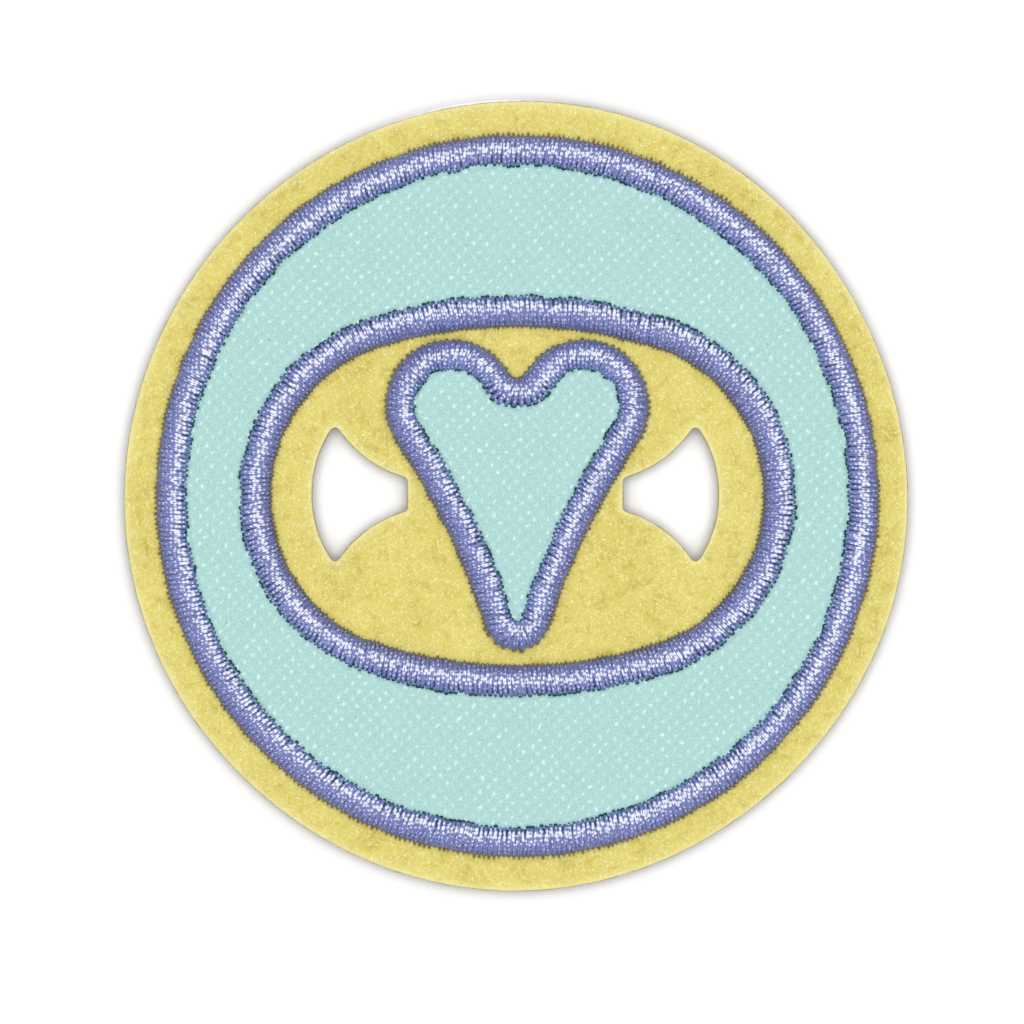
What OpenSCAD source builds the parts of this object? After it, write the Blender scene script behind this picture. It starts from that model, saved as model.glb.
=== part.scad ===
// Round felt sticker patch, lying flat on its back, in millimetres.
// The origin is at the middle of the felt's outline, on the surface that the patch lies on.
// +Z points up through the layers, and X runs along the long way of the oval window.
// From the bottom up: backing sheet, felt, then mint panels whose edges are held by satin cords.

/* [Backing sheet] */
// Thickness of the backing sheet
backing_t = 0.25; // [0.1:0.05:0.5]
// How far the backing sheet has slid out from under the felt
backing_slide = 0.25; // [0:0.05:0.4]
// Direction in which the backing sheet has slid, from +X towards +Y
backing_slide_angle = 108; // [0:1:359]

/* [Felt base] */
// Diameter of the felt disc
felt_d = 76.2; // [75:0.1:90]
// Thickness of the felt
felt_t = 1.5; // [1:0.1:3]

/* [Cut-outs in the felt] */
// Distance from the middle of the patch to the centre of a cut-out's round outer edge
cut_end_x = 8.3; // [8.1:0.05:8.5]
// Radius of a cut-out's round outer edge
cut_end_r = 11.45; // [11.3:0.05:11.6]
// Distance from the middle of the patch to a cut-out's straight inner edge
cut_flat_x = 10.5; // [10.3:0.05:10.7]
// Sideways place of the felt lobes that reach into a cut-out
cut_lobe_x = 7.6; // [7.4:0.05:7.8]
// Distance of a lobe's centre from the long axis
cut_lobe_y = 12.75; // [12.6:0.05:12.9]
// Radius of a lobe
cut_lobe_r = 11.55; // [11.4:0.05:11.7]
// Radius that rounds the corners of a cut-out
cut_corner_r = 0.45; // [0.2:0.05:0.6]

/* [Mint panels] */
// Thickness of the coated fabric
panel_t = 1.0; // [0.6:0.1:1.2]

/* [Satin cords] */
// Height of a cord's crown above the felt
cord_h = 1.45; // [1.4:0.05:1.8]
// Width of the cord round the mint ring
ring_cord_w = 3.1; // [2.8:0.05:3.2]
// Width of the cord round the oval window
oval_cord_w = 3.15; // [2.8:0.05:3.2]
// Width of the cord round the motif
motif_cord_w = 3.05; // [2.8:0.05:3.1]
// Sideways offset of all the needlework from the middle of the felt
stitching_x = 0.1; // [0:0.05:0.3]

/* [Ring] */
// Radius of the ring cord's middle line
ring_r = 33.55; // [33.2:0.05:33.9]

/* [Oval window] */
// Half the length of the oval cord's middle line
oval_half_l = 25.55; // [25.4:0.05:25.7]
// Half the width of the oval cord's middle line
oval_half_w = 18; // [17.9:0.05:18.2]
// Distance from the middle to the centres of the oval's end arcs
oval_end_x = 8.8; // [8.6:0.05:9.2]

/* [Heart motif] */
// Distance of the heart's two upper arcs from the short axis, to their centres
heart_top_x = 6.4; // [6:0.1:6.6]
// Height of those centres above the long axis
heart_top_y = 8.8; // [8.4:0.1:9]
// Radius of the cord's middle line round the two upper arcs
heart_top_r = 4.9; // [4.6:0.1:5]
// Distance of the tip's centre below the long axis
heart_tip_y = 11.8; // [11:0.1:12.2]
// Radius of the cord's middle line round the tip
heart_tip_r = 1.7; // [1.7:0.1:2]
// Radius of the cord's middle line in the notch at the top
heart_notch_r = 2.4; // [2.2:0.1:3]
// Radius of the heart's slightly hollow sides
heart_side_r = 75; // [60:1:120]

/* [Hidden] */
$fn = 120;

paper_colour = "white";
felt_colour = [0.91, 0.86, 0.46];
mint_colour = [0.72, 0.90, 0.87];
thread_colour = [0.53, 0.53, 0.78];

// Clearance that keeps neighbouring pieces apart
gap = 0.03;
// Extra radius of round outlines that follow on from each other, so that they cross
ease = 0.01;
// Extra radius of the cords' flank and hollow arcs, whose ends lap over the arcs between them
lap = 0.02;
// Angle by which an oval's end arc or a heart's lobe runs on inside its neighbours
lap_angle = 1;

felt_z = backing_t + gap;
top_z = felt_z + felt_t + gap;

// The oval is four arcs that meet smoothly: end arcs about (+-oval_end_x, 0), and
// flank arcs whose centres lie across the long axis at (0, -+flank_y)
oval_excess = oval_half_l - oval_half_w;
flank_y = oval_excess * (2 * oval_end_x - oval_excess) / (2 * (oval_end_x - oval_excess));
oval_end_r = oval_half_l - oval_end_x;
flank_r = oval_half_w + flank_y;
oval_end_angle = atan2(flank_y, oval_end_x);

// The heart's middle line is three round lobes, anticlockwise from the tip, and after each
// lobe a hollow that touches it and the next lobe from outside
lobe_c = [[0, -heart_tip_y], [heart_top_x, heart_top_y], [-heart_top_x, heart_top_y]];
lobe_r = [heart_tip_r, heart_top_r, heart_top_r];
hollow_r = [heart_side_r, heart_notch_r, heart_side_r];
turns = [0, 1, 2];
hollow_c = [
    for (i = turns)
        crossing(
            lobe_c[next(i)],
            lobe_r[next(i)] + hollow_r[i],
            lobe_c[i],
            lobe_r[i] + hollow_r[i]
        )
];

// The places of the following and the previous arc in the lists above
function next(i) = (i + 1) % len(lobe_r);
function previous(i) = (i + len(lobe_r) - 1) % len(lobe_r);

// The turn from one bearing to another, anticlockwise
function sweep(start, end) = end > start ? end - start : end - start + 360;

// Angle of the line from one point to another
function bearing(from, to) = atan2(to.y - from.y, to.x - from.x);

// The point at a distance from one point, in the direction of another
function towards(from, to, distance) = from + (to - from) * distance / norm(to - from);

// Where two circles cross, on the left of the line from the first centre to the second
function crossing(c1, r1, c2, r2) =
    let(
        span = norm(c2 - c1),
        along = (span ^ 2 + r1 ^ 2 - r2 ^ 2) / (2 * span),
        aside = sqrt(r1 ^ 2 - along ^ 2),
        unit = (c2 - c1) / span
    )
    c1 + along * unit + aside * [-unit.y, unit.x];

// Repeats the children in the mirror image across the Y axis
module left_and_right() {
    children();
    mirror([1, 0]) children();
}

// Repeats the children in the mirror image across the X axis
module up_and_down() {
    children();
    mirror([0, 1]) children();
}

// Half-round section of a satin cord, standing on the felt, and fuller by a margin
module cord_section(width, fuller = 0) {
    intersection() {
        translate([0, cord_h - width / 2]) circle(r = width / 2 + fuller);
        translate([-width, 0]) square([2 * width, cord_h + width]);
    }
}

// Cord along an arc, from one bearing to another, anticlockwise
module cord_arc(centre, radius, start, end, width, fuller = 0) {
    translate([centre.x, centre.y, top_z])
        rotate([0, 0, start])
            rotate_extrude(angle = sweep(start, end))
                translate([radius, 0])
                    cord_section(width, fuller);
}

// Flat area inside the oval's middle line, grown by a margin
module oval_area(margin) {
    flank_x = (flank_r + margin) * oval_end_x / flank_y;
    left_and_right()
        translate([oval_end_x, 0])
            circle(r = oval_end_r + margin + ease);
    up_and_down()
        intersection() {
            translate([0, -flank_y]) circle(r = flank_r + margin);
            polygon([
                [-oval_end_x, 0],
                [oval_end_x, 0],
                [oval_end_x + flank_x, flank_y * flank_x / oval_end_x],
                [-oval_end_x - flank_x, flank_y * flank_x / oval_end_x]
            ]);
        }
}

// Flat area inside the heart's middle line, drawn in by a margin
module heart_area(margin) {
    for (i = turns)
        translate(lobe_c[i])
            circle(r = lobe_r[i] - margin + ease);
    difference() {
        polygon([for (i = turns, c = [lobe_c[i], hollow_c[i]]) c]);
        for (i = turns)
            translate(hollow_c[i])
                circle(r = hollow_r[i] + margin);
    }
}

// The sharp tip that a round of radius cut_corner_r takes off a corner: the round touches
// the corner's two edges at touch_a and touch_b
module corner_waste(centre, touch_a, corner, touch_b) {
    difference() {
        polygon([
            centre,
            2 * touch_a - centre,
            2 * corner - centre,
            2 * touch_b - centre
        ]);
        translate(centre) circle(r = cut_corner_r + ease);
    }
}

// One cut-out: a round outer edge and a straight inner edge, with a lobe of felt reaching
// in from above and below, and every corner rounded
module cut_out_area() {
    end_c = [cut_end_x, 0];
    cut_lobe_c = [cut_lobe_x, cut_lobe_y];
    round_r = cut_lobe_r + cut_corner_r;
    tip = crossing(cut_lobe_c, cut_lobe_r, end_c, cut_end_r);
    tip_c = crossing(cut_lobe_c, round_r, end_c, cut_end_r - cut_corner_r);
    heel_x = cut_flat_x + cut_corner_r;
    heel = [cut_flat_x, cut_lobe_y - sqrt(cut_lobe_r ^ 2 - (cut_lobe_x - cut_flat_x) ^ 2)];
    heel_c = [heel_x, cut_lobe_y - sqrt(round_r ^ 2 - (cut_lobe_x - heel_x) ^ 2)];
    difference() {
        intersection() {
            translate(end_c) circle(r = cut_end_r);
            translate([cut_flat_x, -cut_end_r]) square(2 * cut_end_r);
        }
        up_and_down() {
            translate(cut_lobe_c) circle(r = cut_lobe_r);
            corner_waste(
                tip_c,
                towards(end_c, tip_c, cut_end_r),
                tip,
                towards(cut_lobe_c, tip_c, cut_lobe_r)
            );
            corner_waste(
                heel_c,
                [cut_flat_x, heel_c.y],
                heel,
                towards(cut_lobe_c, heel_c, cut_lobe_r)
            );
        }
    }
}

// Round sheet whose edge may have slid sideways, with the two cut-outs in their own place
module pierced_disc(thickness, slide = [0, 0]) {
    linear_extrude(thickness)
        difference() {
            translate(slide) circle(d = felt_d);
            left_and_right() cut_out_area();
        }
}

module backing_sheet() {
    slide = backing_slide * [cos(backing_slide_angle), sin(backing_slide_angle)];
    color(paper_colour)
        pierced_disc(backing_t, slide);
}

module felt_base() {
    color(felt_colour)
        translate([0, 0, felt_z])
            pierced_disc(felt_t);
}

module ring_panel() {
    color(mint_colour)
        translate([stitching_x, 0, top_z])
            linear_extrude(panel_t)
                difference() {
                    circle(r = ring_r - ring_cord_w / 2 - gap);
                    oval_area(oval_cord_w / 2 + gap);
                }
}

module motif_panel() {
    color(mint_colour)
        translate([stitching_x, 0, top_z])
            linear_extrude(panel_t)
                heart_area(motif_cord_w / 2 + gap);
}

module ring_stitch() {
    color(thread_colour)
        translate([stitching_x, 0, top_z])
            rotate_extrude()
                translate([ring_r, 0])
                    cord_section(ring_cord_w);
}

module oval_stitch() {
    end_turn = oval_end_angle + lap_angle;
    flank_turn = oval_end_angle;
    color(thread_colour)
        translate([stitching_x, 0, 0]) {
            left_and_right()
                cord_arc([oval_end_x, 0], oval_end_r, -end_turn, end_turn, oval_cord_w);
            up_and_down()
                cord_arc([0, -flank_y], flank_r, flank_turn, 180 - flank_turn, oval_cord_w, lap);
        }
}

module motif_stitch() {
    color(thread_colour)
        translate([stitching_x, 0, 0])
            for (i = turns) {
                cord_arc(
                    lobe_c[i],
                    lobe_r[i],
                    bearing(lobe_c[i], hollow_c[previous(i)]) - lap_angle,
                    bearing(lobe_c[i], hollow_c[i]) + lap_angle,
                    motif_cord_w
                );
                cord_arc(
                    hollow_c[i],
                    hollow_r[i],
                    bearing(hollow_c[i], lobe_c[next(i)]),
                    bearing(hollow_c[i], lobe_c[i]),
                    motif_cord_w,
                    lap
                );
            }
}

backing_sheet();
felt_base();
ring_panel();
motif_panel();
ring_stitch();
oval_stitch();
motif_stitch();
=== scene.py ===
from math import cos, pi, radians, sin
from types import SimpleNamespace

import bpy
import numpy as np
from bpy.props import FloatProperty, FloatVectorProperty, IntProperty, PointerProperty
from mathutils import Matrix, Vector
from mathutils.geometry import delaunay_2d_cdt


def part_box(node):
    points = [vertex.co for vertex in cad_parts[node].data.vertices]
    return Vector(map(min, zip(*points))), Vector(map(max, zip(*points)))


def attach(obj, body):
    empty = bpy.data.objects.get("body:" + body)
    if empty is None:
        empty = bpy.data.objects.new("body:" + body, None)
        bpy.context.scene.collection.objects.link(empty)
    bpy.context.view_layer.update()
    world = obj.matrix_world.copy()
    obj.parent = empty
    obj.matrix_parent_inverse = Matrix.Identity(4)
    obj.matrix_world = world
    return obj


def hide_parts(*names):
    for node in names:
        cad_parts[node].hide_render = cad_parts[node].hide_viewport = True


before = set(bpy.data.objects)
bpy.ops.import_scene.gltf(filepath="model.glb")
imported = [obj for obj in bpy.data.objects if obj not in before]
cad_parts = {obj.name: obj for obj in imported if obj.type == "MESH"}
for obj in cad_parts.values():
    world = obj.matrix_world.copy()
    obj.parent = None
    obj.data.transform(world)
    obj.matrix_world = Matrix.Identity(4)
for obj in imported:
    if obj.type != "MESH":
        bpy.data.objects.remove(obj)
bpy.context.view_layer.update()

bl_info = {
    "name": "Round felt sticker patch",
    "version": (1, 0, 0),
    "blender": (4, 5, 0),
    "location": "3D View > Sidebar > Patch",
    "description": "Dresses the patch's solids in felt, embossed coated fabric and satin stitches",
    "category": "Object",
}

MM = 0.001
BODY = "root"

# How the felt's rim strays from a circle: a number of crests all round, the bearing of the first
# of them, and their height. No crests is an even margin all round.
RIM_WAVES = [
    (0, 0.0, 0.08 * MM),
    (2, radians(76), 0.175 * MM),
    (3, radians(-46), 0.06 * MM),
    (4, radians(-7), 0.11 * MM),
    (5, radians(-14), 0.045 * MM),
]
# Where the backing sheet peeps out beyond the felt
PEEP_BEARING = radians(97)
PEEP_WIDTH = radians(15)
# The height of its normal below which a face is taken to look straight down
FACES_DOWN = -0.999
# Painted shade and a painted reflection along a stitch, from the hole in the felt at 0 to the
# hole in the fabric at 1: darker where the thread dives into the holes, and teal near the fabric
FOOT_SHADE_AND_REFLECTION = [
    (0.0, (0.55, 0.48, 0.30)),
    (0.04, (0.66, 0.60, 0.55)),
    (0.09, (0.76, 0.74, 0.78)),
    (0.22, (1.0, 1.0, 1.0)),
    (0.84, (1.0, 1.0, 1.0)),
    (0.94, (0.85, 1.0, 1.0)),
    (0.98, (0.58, 0.88, 0.92)),
    (1.0, (0.12, 0.32, 0.36)),
]


# Settings

def measure(name, description, default, low, high):
    """A length that the user may change, given in millimetres."""
    return FloatProperty(
        name=name, description=description,
        default=default * MM, min=low * MM, max=high * MM, unit="LENGTH",
    )


def tint(name, description, default):
    """A colour that the user may change."""
    return FloatVectorProperty(
        name=name, description=description, subtype="COLOR", default=default, min=0, max=1,
    )


class FeltSettings(bpy.types.PropertyGroup):
    """Sizes and colours of the felt disc."""

    colour: tint("Colour", "Colour of the felt", (0.70, 0.606, 0.158))
    shadow_colour: tint("Shadow colour", "Colour between the fibres", (0.47, 0.355, 0.045))
    fleck_colour: tint("Fleck colour", "Colour of the palest fibres", (0.95, 0.90, 0.50))
    # Painted shade in the felt's needle holes
    hole_shade_colour: tint("Hole colour", "Colour of the needle holes in the felt", (0.19, 0.145, 0.04))
    # Painted shade on the felt's cut edge
    edge_shade_colour: tint("Edge colour", "Colour of the felt's browned cut edge", (0.33, 0.26, 0.10))
    rim_fade: measure("Rim fade", "Depth over which the paler rim fades into the felt", 0.3, 0.05, 2)
    grid_step: measure("Grid step", "Distance between the points of the felt's face", 0.36, 0.2, 2)
    relief: measure("Relief", "Height of the soft unevenness of the felt's face", 0.03, 0, 0.2)
    edge_round: measure("Edge rounding", "Width of the soft rounding along the cut edges", 0.2, 0.1, 0.6)
    pull: measure("Pull", "How deep the stitches pull the felt down beside them", 0.07, 0, 0.6)
    fibre_count: IntProperty(
        name="Fibres", description="Number of loose fibres on the felt's face",
        default=5200, min=0, max=7500,
    )
    fibre_length: measure("Fibre length", "Length of the longest loose fibres", 0.34, 0.2, 6)
    fibre_radius: measure("Fibre radius", "Radius of a loose fibre", 0.03, 0.005, 0.06)
    fibre_lift: measure("Fibre lift", "How high the loose fibres arch over the felt at most", 0.02, 0, 0.5)


class FabricSettings(bpy.types.PropertyGroup):
    """Sizes and colours of the embossed coated fabric."""

    colour: tint("Colour", "Colour of the coating", (0.448, 0.693, 0.668))
    # Painted shade in the needle holes and the pinholes
    hole_shade_colour: tint("Hole colour", "Colour of the dark needle holes", (0.012, 0.07, 0.075))
    # Painted glints on the weave's raised specks
    speck_glint_colour: tint("Speck colour", "Colour of the weave's raised specks", (0.72, 0.91, 0.91))
    # Painted shade in the weave's hollows, and the dark end of its random grain
    hollow_shade_and_grain_colour: tint("Hollow colour", "Colour in the weave's hollows", (0.27, 0.50, 0.46))
    weave_x: measure("Weave repeat across", "Repeat of the weave along the long axis", 1.32, 0.5, 3)
    weave_y: measure("Weave repeat along", "Repeat of the weave along the short axis", 1.38, 0.5, 3)
    weave_turn: FloatProperty(
        name="Weave turn", description="How far the weave is turned clockwise on the patch",
        default=radians(4.2), min=-pi, max=pi, subtype="ANGLE",
    )
    relief: measure("Relief", "Height of the weave's crowns over its hollows", 0.012, 0, 0.2)
    grid_step: measure("Grid step", "Distance between the points of the fabric's face", 0.24, 0.15, 2)
    pull: measure("Pull", "How deep the stitches pull the fabric down at its edge", 0.15, 0, 0.7)
    pull_reach: measure("Pull reach", "How far from the stitches the fabric is pulled down", 0.12, 0.05, 2)
    tuck: measure("Tuck", "How far the fabric's edge reaches under the stitches", 0.4, 0.1, 0.8)


class ThreadSettings(bpy.types.PropertyGroup):
    """Sizes and colours of the satin stitches."""

    colour: tint("Colour", "Colour of the thread", (0.22, 0.265, 0.60))
    # Painted shade in the groove between the plies, also the dark end of each strand's random tone
    groove_shade_colour: tint("Groove colour", "Colour between the thread's plies", (0.13, 0.145, 0.40))
    # Painted highlight on the plies' crowns
    gleam_colour: tint("Gleam colour", "Colour of the plies' shiny crowns", (0.86, 0.90, 1.0))
    # Direction of the light that the painted gleam is drawn for
    gleam_from: FloatVectorProperty(
        name="Gleam from", description="Direction that the shiniest crowns face", size=3,
        default=(0.155, 0.16, 0.975), min=-1, max=1, subtype="DIRECTION",
    )
    gleam_width: FloatProperty(
        name="Gleam width", description="How far the thread may turn from square to the gleam",
        default=0.22, min=0.05, max=1,
    )
    ring_width: measure("Ring cord width", "Width of the cord round the ring", 3.1, 2, 4)
    oval_width: measure("Oval cord width", "Width of the cord round the oval window", 3.15, 2, 4)
    heart_width: measure("Heart cord width", "Width of the cord round the heart", 3.05, 2, 4)
    pitch: measure("Stitch pitch", "Distance between the needle holes of one edge", 0.465, 0.3, 1)
    radius: measure("Thread radius", "Radius of the two-ply thread", 0.2, 0.05, 0.3)
    twist: measure("Twist", "Length of thread in which the plies go round once", 1.0, 0.5, 6)
    lean: FloatProperty(
        name="Lean", description="How far a stitch leans along the cord, in stitch pitches",
        default=0.6, min=-3, max=3,
    )
    skew: FloatProperty(
        name="Skew", description="How far the cord's crown lies towards the fabric, 1 for none",
        default=1.29, min=0.5, max=2,
    )
    inset: measure("Inset", "How far the fabric's needle holes lie inside the cord's edge", 0.25, 0, 0.6)
    unevenness: measure("Unevenness", "How far the needle holes stray from their line", 0.07, 0, 0.2)


class OutlineSettings(bpy.types.PropertyGroup):
    """Radii and places that the oval, the heart and the cut-outs are drawn from."""

    oval_end_x: measure(
        "Oval end", "Distance from the middle to the oval's end arcs' centres", 8.8, 8.6, 9.2
    )
    heart_top_r: measure("Heart top radius", "Radius of the heart's two upper arcs", 4.9, 4.6, 5)
    heart_tip_r: measure("Heart tip radius", "Radius of the heart's tip", 1.7, 1.7, 2)
    heart_notch_r: measure("Heart notch radius", "Radius of the notch at the heart's top", 2.4, 2.2, 3)
    heart_side_r: measure("Heart side radius", "Radius of the heart's slightly hollow sides", 75, 60, 120)
    cut_end_x: measure("Cut-out end", "Distance from the middle to the outer arc's centre", 8.3, 8.1, 8.5)
    cut_end_r: measure("Cut-out end radius", "Radius of a cut-out's outer arc", 11.45, 11.3, 11.6)
    cut_flat_x: measure(
        "Cut-out flat", "Distance from the middle to the straight inner edge", 10.5, 10.3, 10.7
    )
    cut_lobe: FloatVectorProperty(
        name="Cut-out lobe", description="Centre of the felt lobe that reaches in", size=2,
        default=(7.6 * MM, 12.75 * MM), unit="LENGTH",
    )
    cut_lobe_r: measure("Cut-out lobe radius", "Radius of the felt lobes that reach in", 11.55, 11.4, 11.7)
    cut_shift: FloatVectorProperty(
        name="Cut-out shift", description="How far the cut-outs lie off the middle", size=2,
        default=(-0.09 * MM, 0.16 * MM), unit="LENGTH",
    )
    cut_corner_r: measure(
        "Cut-out corner radius", "Radius that rounds a cut-out's corners", 0.45, 0.2, 0.6
    )


class PaperSettings(bpy.types.PropertyGroup):
    """Size and colours of the backing sheet."""

    inset: measure("Inset", "How far the backing sheet keeps in from the felt's edge", 0.25, 0, 1)
    peep: measure("Peep", "How far the backing sheet is pushed out where it peeps out", 0.56, 0, 1)
    colour: tint("Colour", "Colour of the backing sheet", (0.97, 0.97, 0.97))
    shade_colour: tint("Shade colour", "Colour of the paper's darker fibres", (0.88, 0.88, 0.87))
    # Painted light: how much the paper glows
    glow: FloatProperty(
        name="Glow", description="How much the paper's brightener makes it glow",
        default=0.3, min=0, max=1,
    )


class StageSettings(bpy.types.PropertyGroup):
    """Floor, lights and camera."""

    floor_colour: tint("Floor colour", "Colour of the floor", (0.975, 0.98, 1.0))
    # Painted contact shadow on the floor
    contact_shade_colour: tint(
        "Contact colour", "Colour of the floor where it is quite hemmed in", (0.41, 0.415, 0.455)
    )
    contact_reach: measure(
        "Contact reach", "How far from the patch its contact shade reaches", 0.9, 0.1, 5
    )
    fill: FloatProperty(
        name="Fill", description="Strength of the even light from all round",
        default=0.1, min=0, max=5,
    )
    top_power: FloatProperty(
        name="Top power", description="Power of the broad light overhead",
        default=24.1, min=0, max=100, unit="POWER",
    )
    top_size: FloatVectorProperty(
        name="Top size", description="Width and length of the broad light overhead", size=2,
        default=(2.2, 2.6), min=0.01, max=3, unit="LENGTH",
    )
    top_place: FloatVectorProperty(
        name="Top place", description="Place of the broad light overhead", size=3,
        default=(0.0, 0.0, 0.75), unit="LENGTH",
    )
    key_power: FloatProperty(
        name="Key power", description="Power of the small light that makes the thread gleam",
        default=0.08, min=0, max=100, unit="POWER",
    )
    key_size: FloatProperty(
        name="Key size", description="Width of the small light",
        default=0.15, min=0.01, max=2, unit="LENGTH",
    )
    key_place: FloatVectorProperty(
        name="Key place", description="Place of the small light", size=3,
        default=(0.26, 0.26, 0.47), unit="LENGTH",
    )
    camera_distance: FloatProperty(
        name="Camera distance", description="Height of the camera over the felt",
        default=0.6, min=0.2, max=3, unit="LENGTH",
    )
    frame_width: measure("Frame width", "Width of what the camera sees at the felt's face", 99.54, 50, 500)
    frame_middle: FloatVectorProperty(
        name="Frame middle", description="Place on the patch at the middle of the picture", size=2,
        default=(-0.41 * MM, -1.55 * MM), unit="LENGTH",
    )


SETTINGS = {
    "patch_felt": FeltSettings,
    "patch_fabric": FabricSettings,
    "patch_thread": ThreadSettings,
    "patch_outline": OutlineSettings,
    "patch_paper": PaperSettings,
    "patch_stage": StageSettings,
}


# Outlines

class Outline:
    """A smooth closed path of arcs that touch each other, run anticlockwise.

    Each arc has a centre and a signed radius, positive where it bulges outwards and negative in
    a hollow. A point on it is the centre plus the signed radius times the outward normal, so two
    arcs touch where the normal is the step between their centres over the drop in signed radius.
    """

    def __init__(self, centres, radii):
        self.centre = np.asarray(centres, float)
        self.radius = np.asarray(radii, float)
        if len(self.radius) == 1:
            self.start = np.zeros(1)
            self.turn = np.full(1, 2 * pi)
        else:
            step = np.roll(self.centre, -1, axis=0) - self.centre
            drop = self.radius - np.roll(self.radius, -1)
            leave = np.arctan2(step[:, 1] / drop, step[:, 0] / drop)
            self.start = np.roll(leave, 1)
            bulges = self.radius > 0
            ahead = np.mod(leave - self.start, 2 * pi)
            self.turn = np.where(bulges, ahead, -np.mod(self.start - leave, 2 * pi))
        length = self.radius * self.turn
        self.total = length.sum()
        self.before = np.cumsum(length) - length

    def grown(self, margin):
        """The outline moved outwards by a margin: each signed radius grows by it."""
        return Outline(self.centre, self.radius + margin)

    def moved(self, step):
        """The outline moved by a step."""
        return Outline(self.centre + step, self.radius)

    def mirrored(self):
        """The outline's mirror image across the Y axis, still run anticlockwise."""
        return Outline((self.centre * (-1, 1))[::-1], self.radius[::-1])

    def at(self, length, offset=0.0):
        """Points at these lengths along the outline, moved outwards by an offset, and normals."""
        length = np.mod(length, self.total)
        arc = np.searchsorted(self.before, length, side="right") - 1
        angle = self.start[arc] + (length - self.before[arc]) / self.radius[arc]
        normal = np.stack([np.cos(angle), np.sin(angle)], -1)
        reach = self.radius[arc] + offset
        return self.centre[arc] + reach[..., None] * normal, normal

    def nearest(self, points):
        """How far outside the outline points lie, and the length at the nearest point on it.

        On each arc the nearest point has the bearing from the centre, held within the arc's
        turn, and the arc that comes closest counts. The distance is negative inside.
        """
        best = np.full(len(points), np.inf)
        outside = np.zeros(len(points))
        length = np.zeros(len(points))
        for centre, radius, start, turn, before in zip(
            self.centre, self.radius, self.start, self.turn, self.before
        ):
            arm = (points - centre) * np.sign(radius)
            middle = start + turn / 2
            swing = np.mod(np.arctan2(arm[:, 1], arm[:, 0]) - middle + pi, 2 * pi) - pi
            angle = middle + np.clip(swing, -abs(turn) / 2, abs(turn) / 2)
            normal = np.stack([np.cos(angle), np.sin(angle)], -1)
            gap = points - centre - radius * normal
            distance = np.hypot(gap[:, 0], gap[:, 1])
            closer = distance < best
            best = np.where(closer, distance, best)
            side = np.sign((gap * normal).sum(1))
            outside = np.where(closer, side * distance, outside)
            length = np.where(closer, before + (angle - start) * radius, length)
        return outside, length


def crossing(c1, r1, c2, r2):
    """Where two circles cross, on the left of the line from the first centre to the second."""
    c1, c2 = np.asarray(c1, float), np.asarray(c2, float)
    span = np.hypot(*(c2 - c1))
    along = (span ** 2 + r1 ** 2 - r2 ** 2) / (2 * span)
    aside = np.sqrt(r1 ** 2 - along ** 2)
    ahead = (c2 - c1) / span
    return c1 + along * ahead + aside * np.array([-ahead[1], ahead[0]])


def off_round(points, peep=0.0):
    """Points moved outwards or inwards near the felt's rim, which isn't quite round.

    The shift is a sum of cosines of whole multiples of the bearing, and dies away inwards with
    the twelfth power of the distance from the middle. A sheet may also peep out on one side by
    a bump that is the exponential of minus the square of the bearing's distance from it.
    """
    half, middle = half_size("felt_base")
    arm = points[:, :2] - middle
    bearing = np.arctan2(arm[:, 1], arm[:, 0])
    shift = np.zeros(len(points))
    for crests, first, rise in RIM_WAVES:
        shift += rise * np.cos(crests * (bearing - first))
    shift += peep * np.exp(-((bearing - PEEP_BEARING) / PEEP_WIDTH) ** 2)
    share = np.hypot(arm[:, 0], arm[:, 1]) / half[0]
    moved = np.array(points)
    moved[:, :2] += arm / half[0] * (shift * share ** 11)[:, None]
    return moved


def half_size(node):
    """Half the width and half the length of a solid, and its middle, seen from above."""
    low, high = (np.array(corner[:2]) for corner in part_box(node))
    return (high - low) / 2, (high + low) / 2


def felt_outline():
    """Circle round the felt disc."""
    half, middle = half_size("felt_base")
    return Outline([middle], [half[0]])


def ring_outline(width):
    """Middle line of the cord round the ring: a circle half a cord inside the solid's edge."""
    half, middle = half_size("ring_stitch")
    return Outline([middle], [half[0] - width / 2])


def oval_outline(width, end_x):
    """Middle line of the oval's cord: two end arcs and two flank arcs that meet smoothly.

    With half-length a, half-width b, k = a - b and end centres at c, the flank centres lie
    k (2 c - k) / (2 (c - k)) across the long axis.
    """
    half, middle = half_size("oval_stitch")
    half_l, half_w = half - width / 2
    excess = half_l - half_w
    flank_y = excess * (2 * end_x - excess) / (2 * (end_x - excess))
    end_r = half_l - end_x
    flank_r = half_w + flank_y
    centres = np.array([(end_x, 0), (0, -flank_y), (-end_x, 0), (0, flank_y)]) + middle
    return Outline(centres, [end_r, flank_r, end_r, flank_r])


def heart_outline(width, settings):
    """Middle line of the heart's cord: a tip and two upper arcs, joined by three hollows.

    Each hollow touches its two neighbours from outside, so its centre lies where circles
    about theirs cross whose radii are the sums of the touching radii.
    """
    low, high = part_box("motif_stitch")
    top_r, tip_r = settings.heart_top_r, settings.heart_tip_r
    reach = width / 2
    middle_x = (low.x + high.x) / 2
    top_x = (high.x - low.x) / 2 - top_r - reach
    top_y = high.y - top_r - reach
    lobes = [(0, low.y + tip_r + reach), (top_x, top_y), (-top_x, top_y)]
    lobe_r = [tip_r, top_r, top_r]
    hollow_r = [settings.heart_side_r, settings.heart_notch_r, settings.heart_side_r]
    centres, radii = [], []
    for i, hollow in enumerate(hollow_r):
        j = (i + 1) % len(lobes)
        centres += [lobes[i], crossing(lobes[j], lobe_r[j] + hollow, lobes[i], lobe_r[i] + hollow)]
        radii += [lobe_r[i], -hollow]
    return Outline(np.array(centres) + (middle_x, 0), radii)


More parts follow.
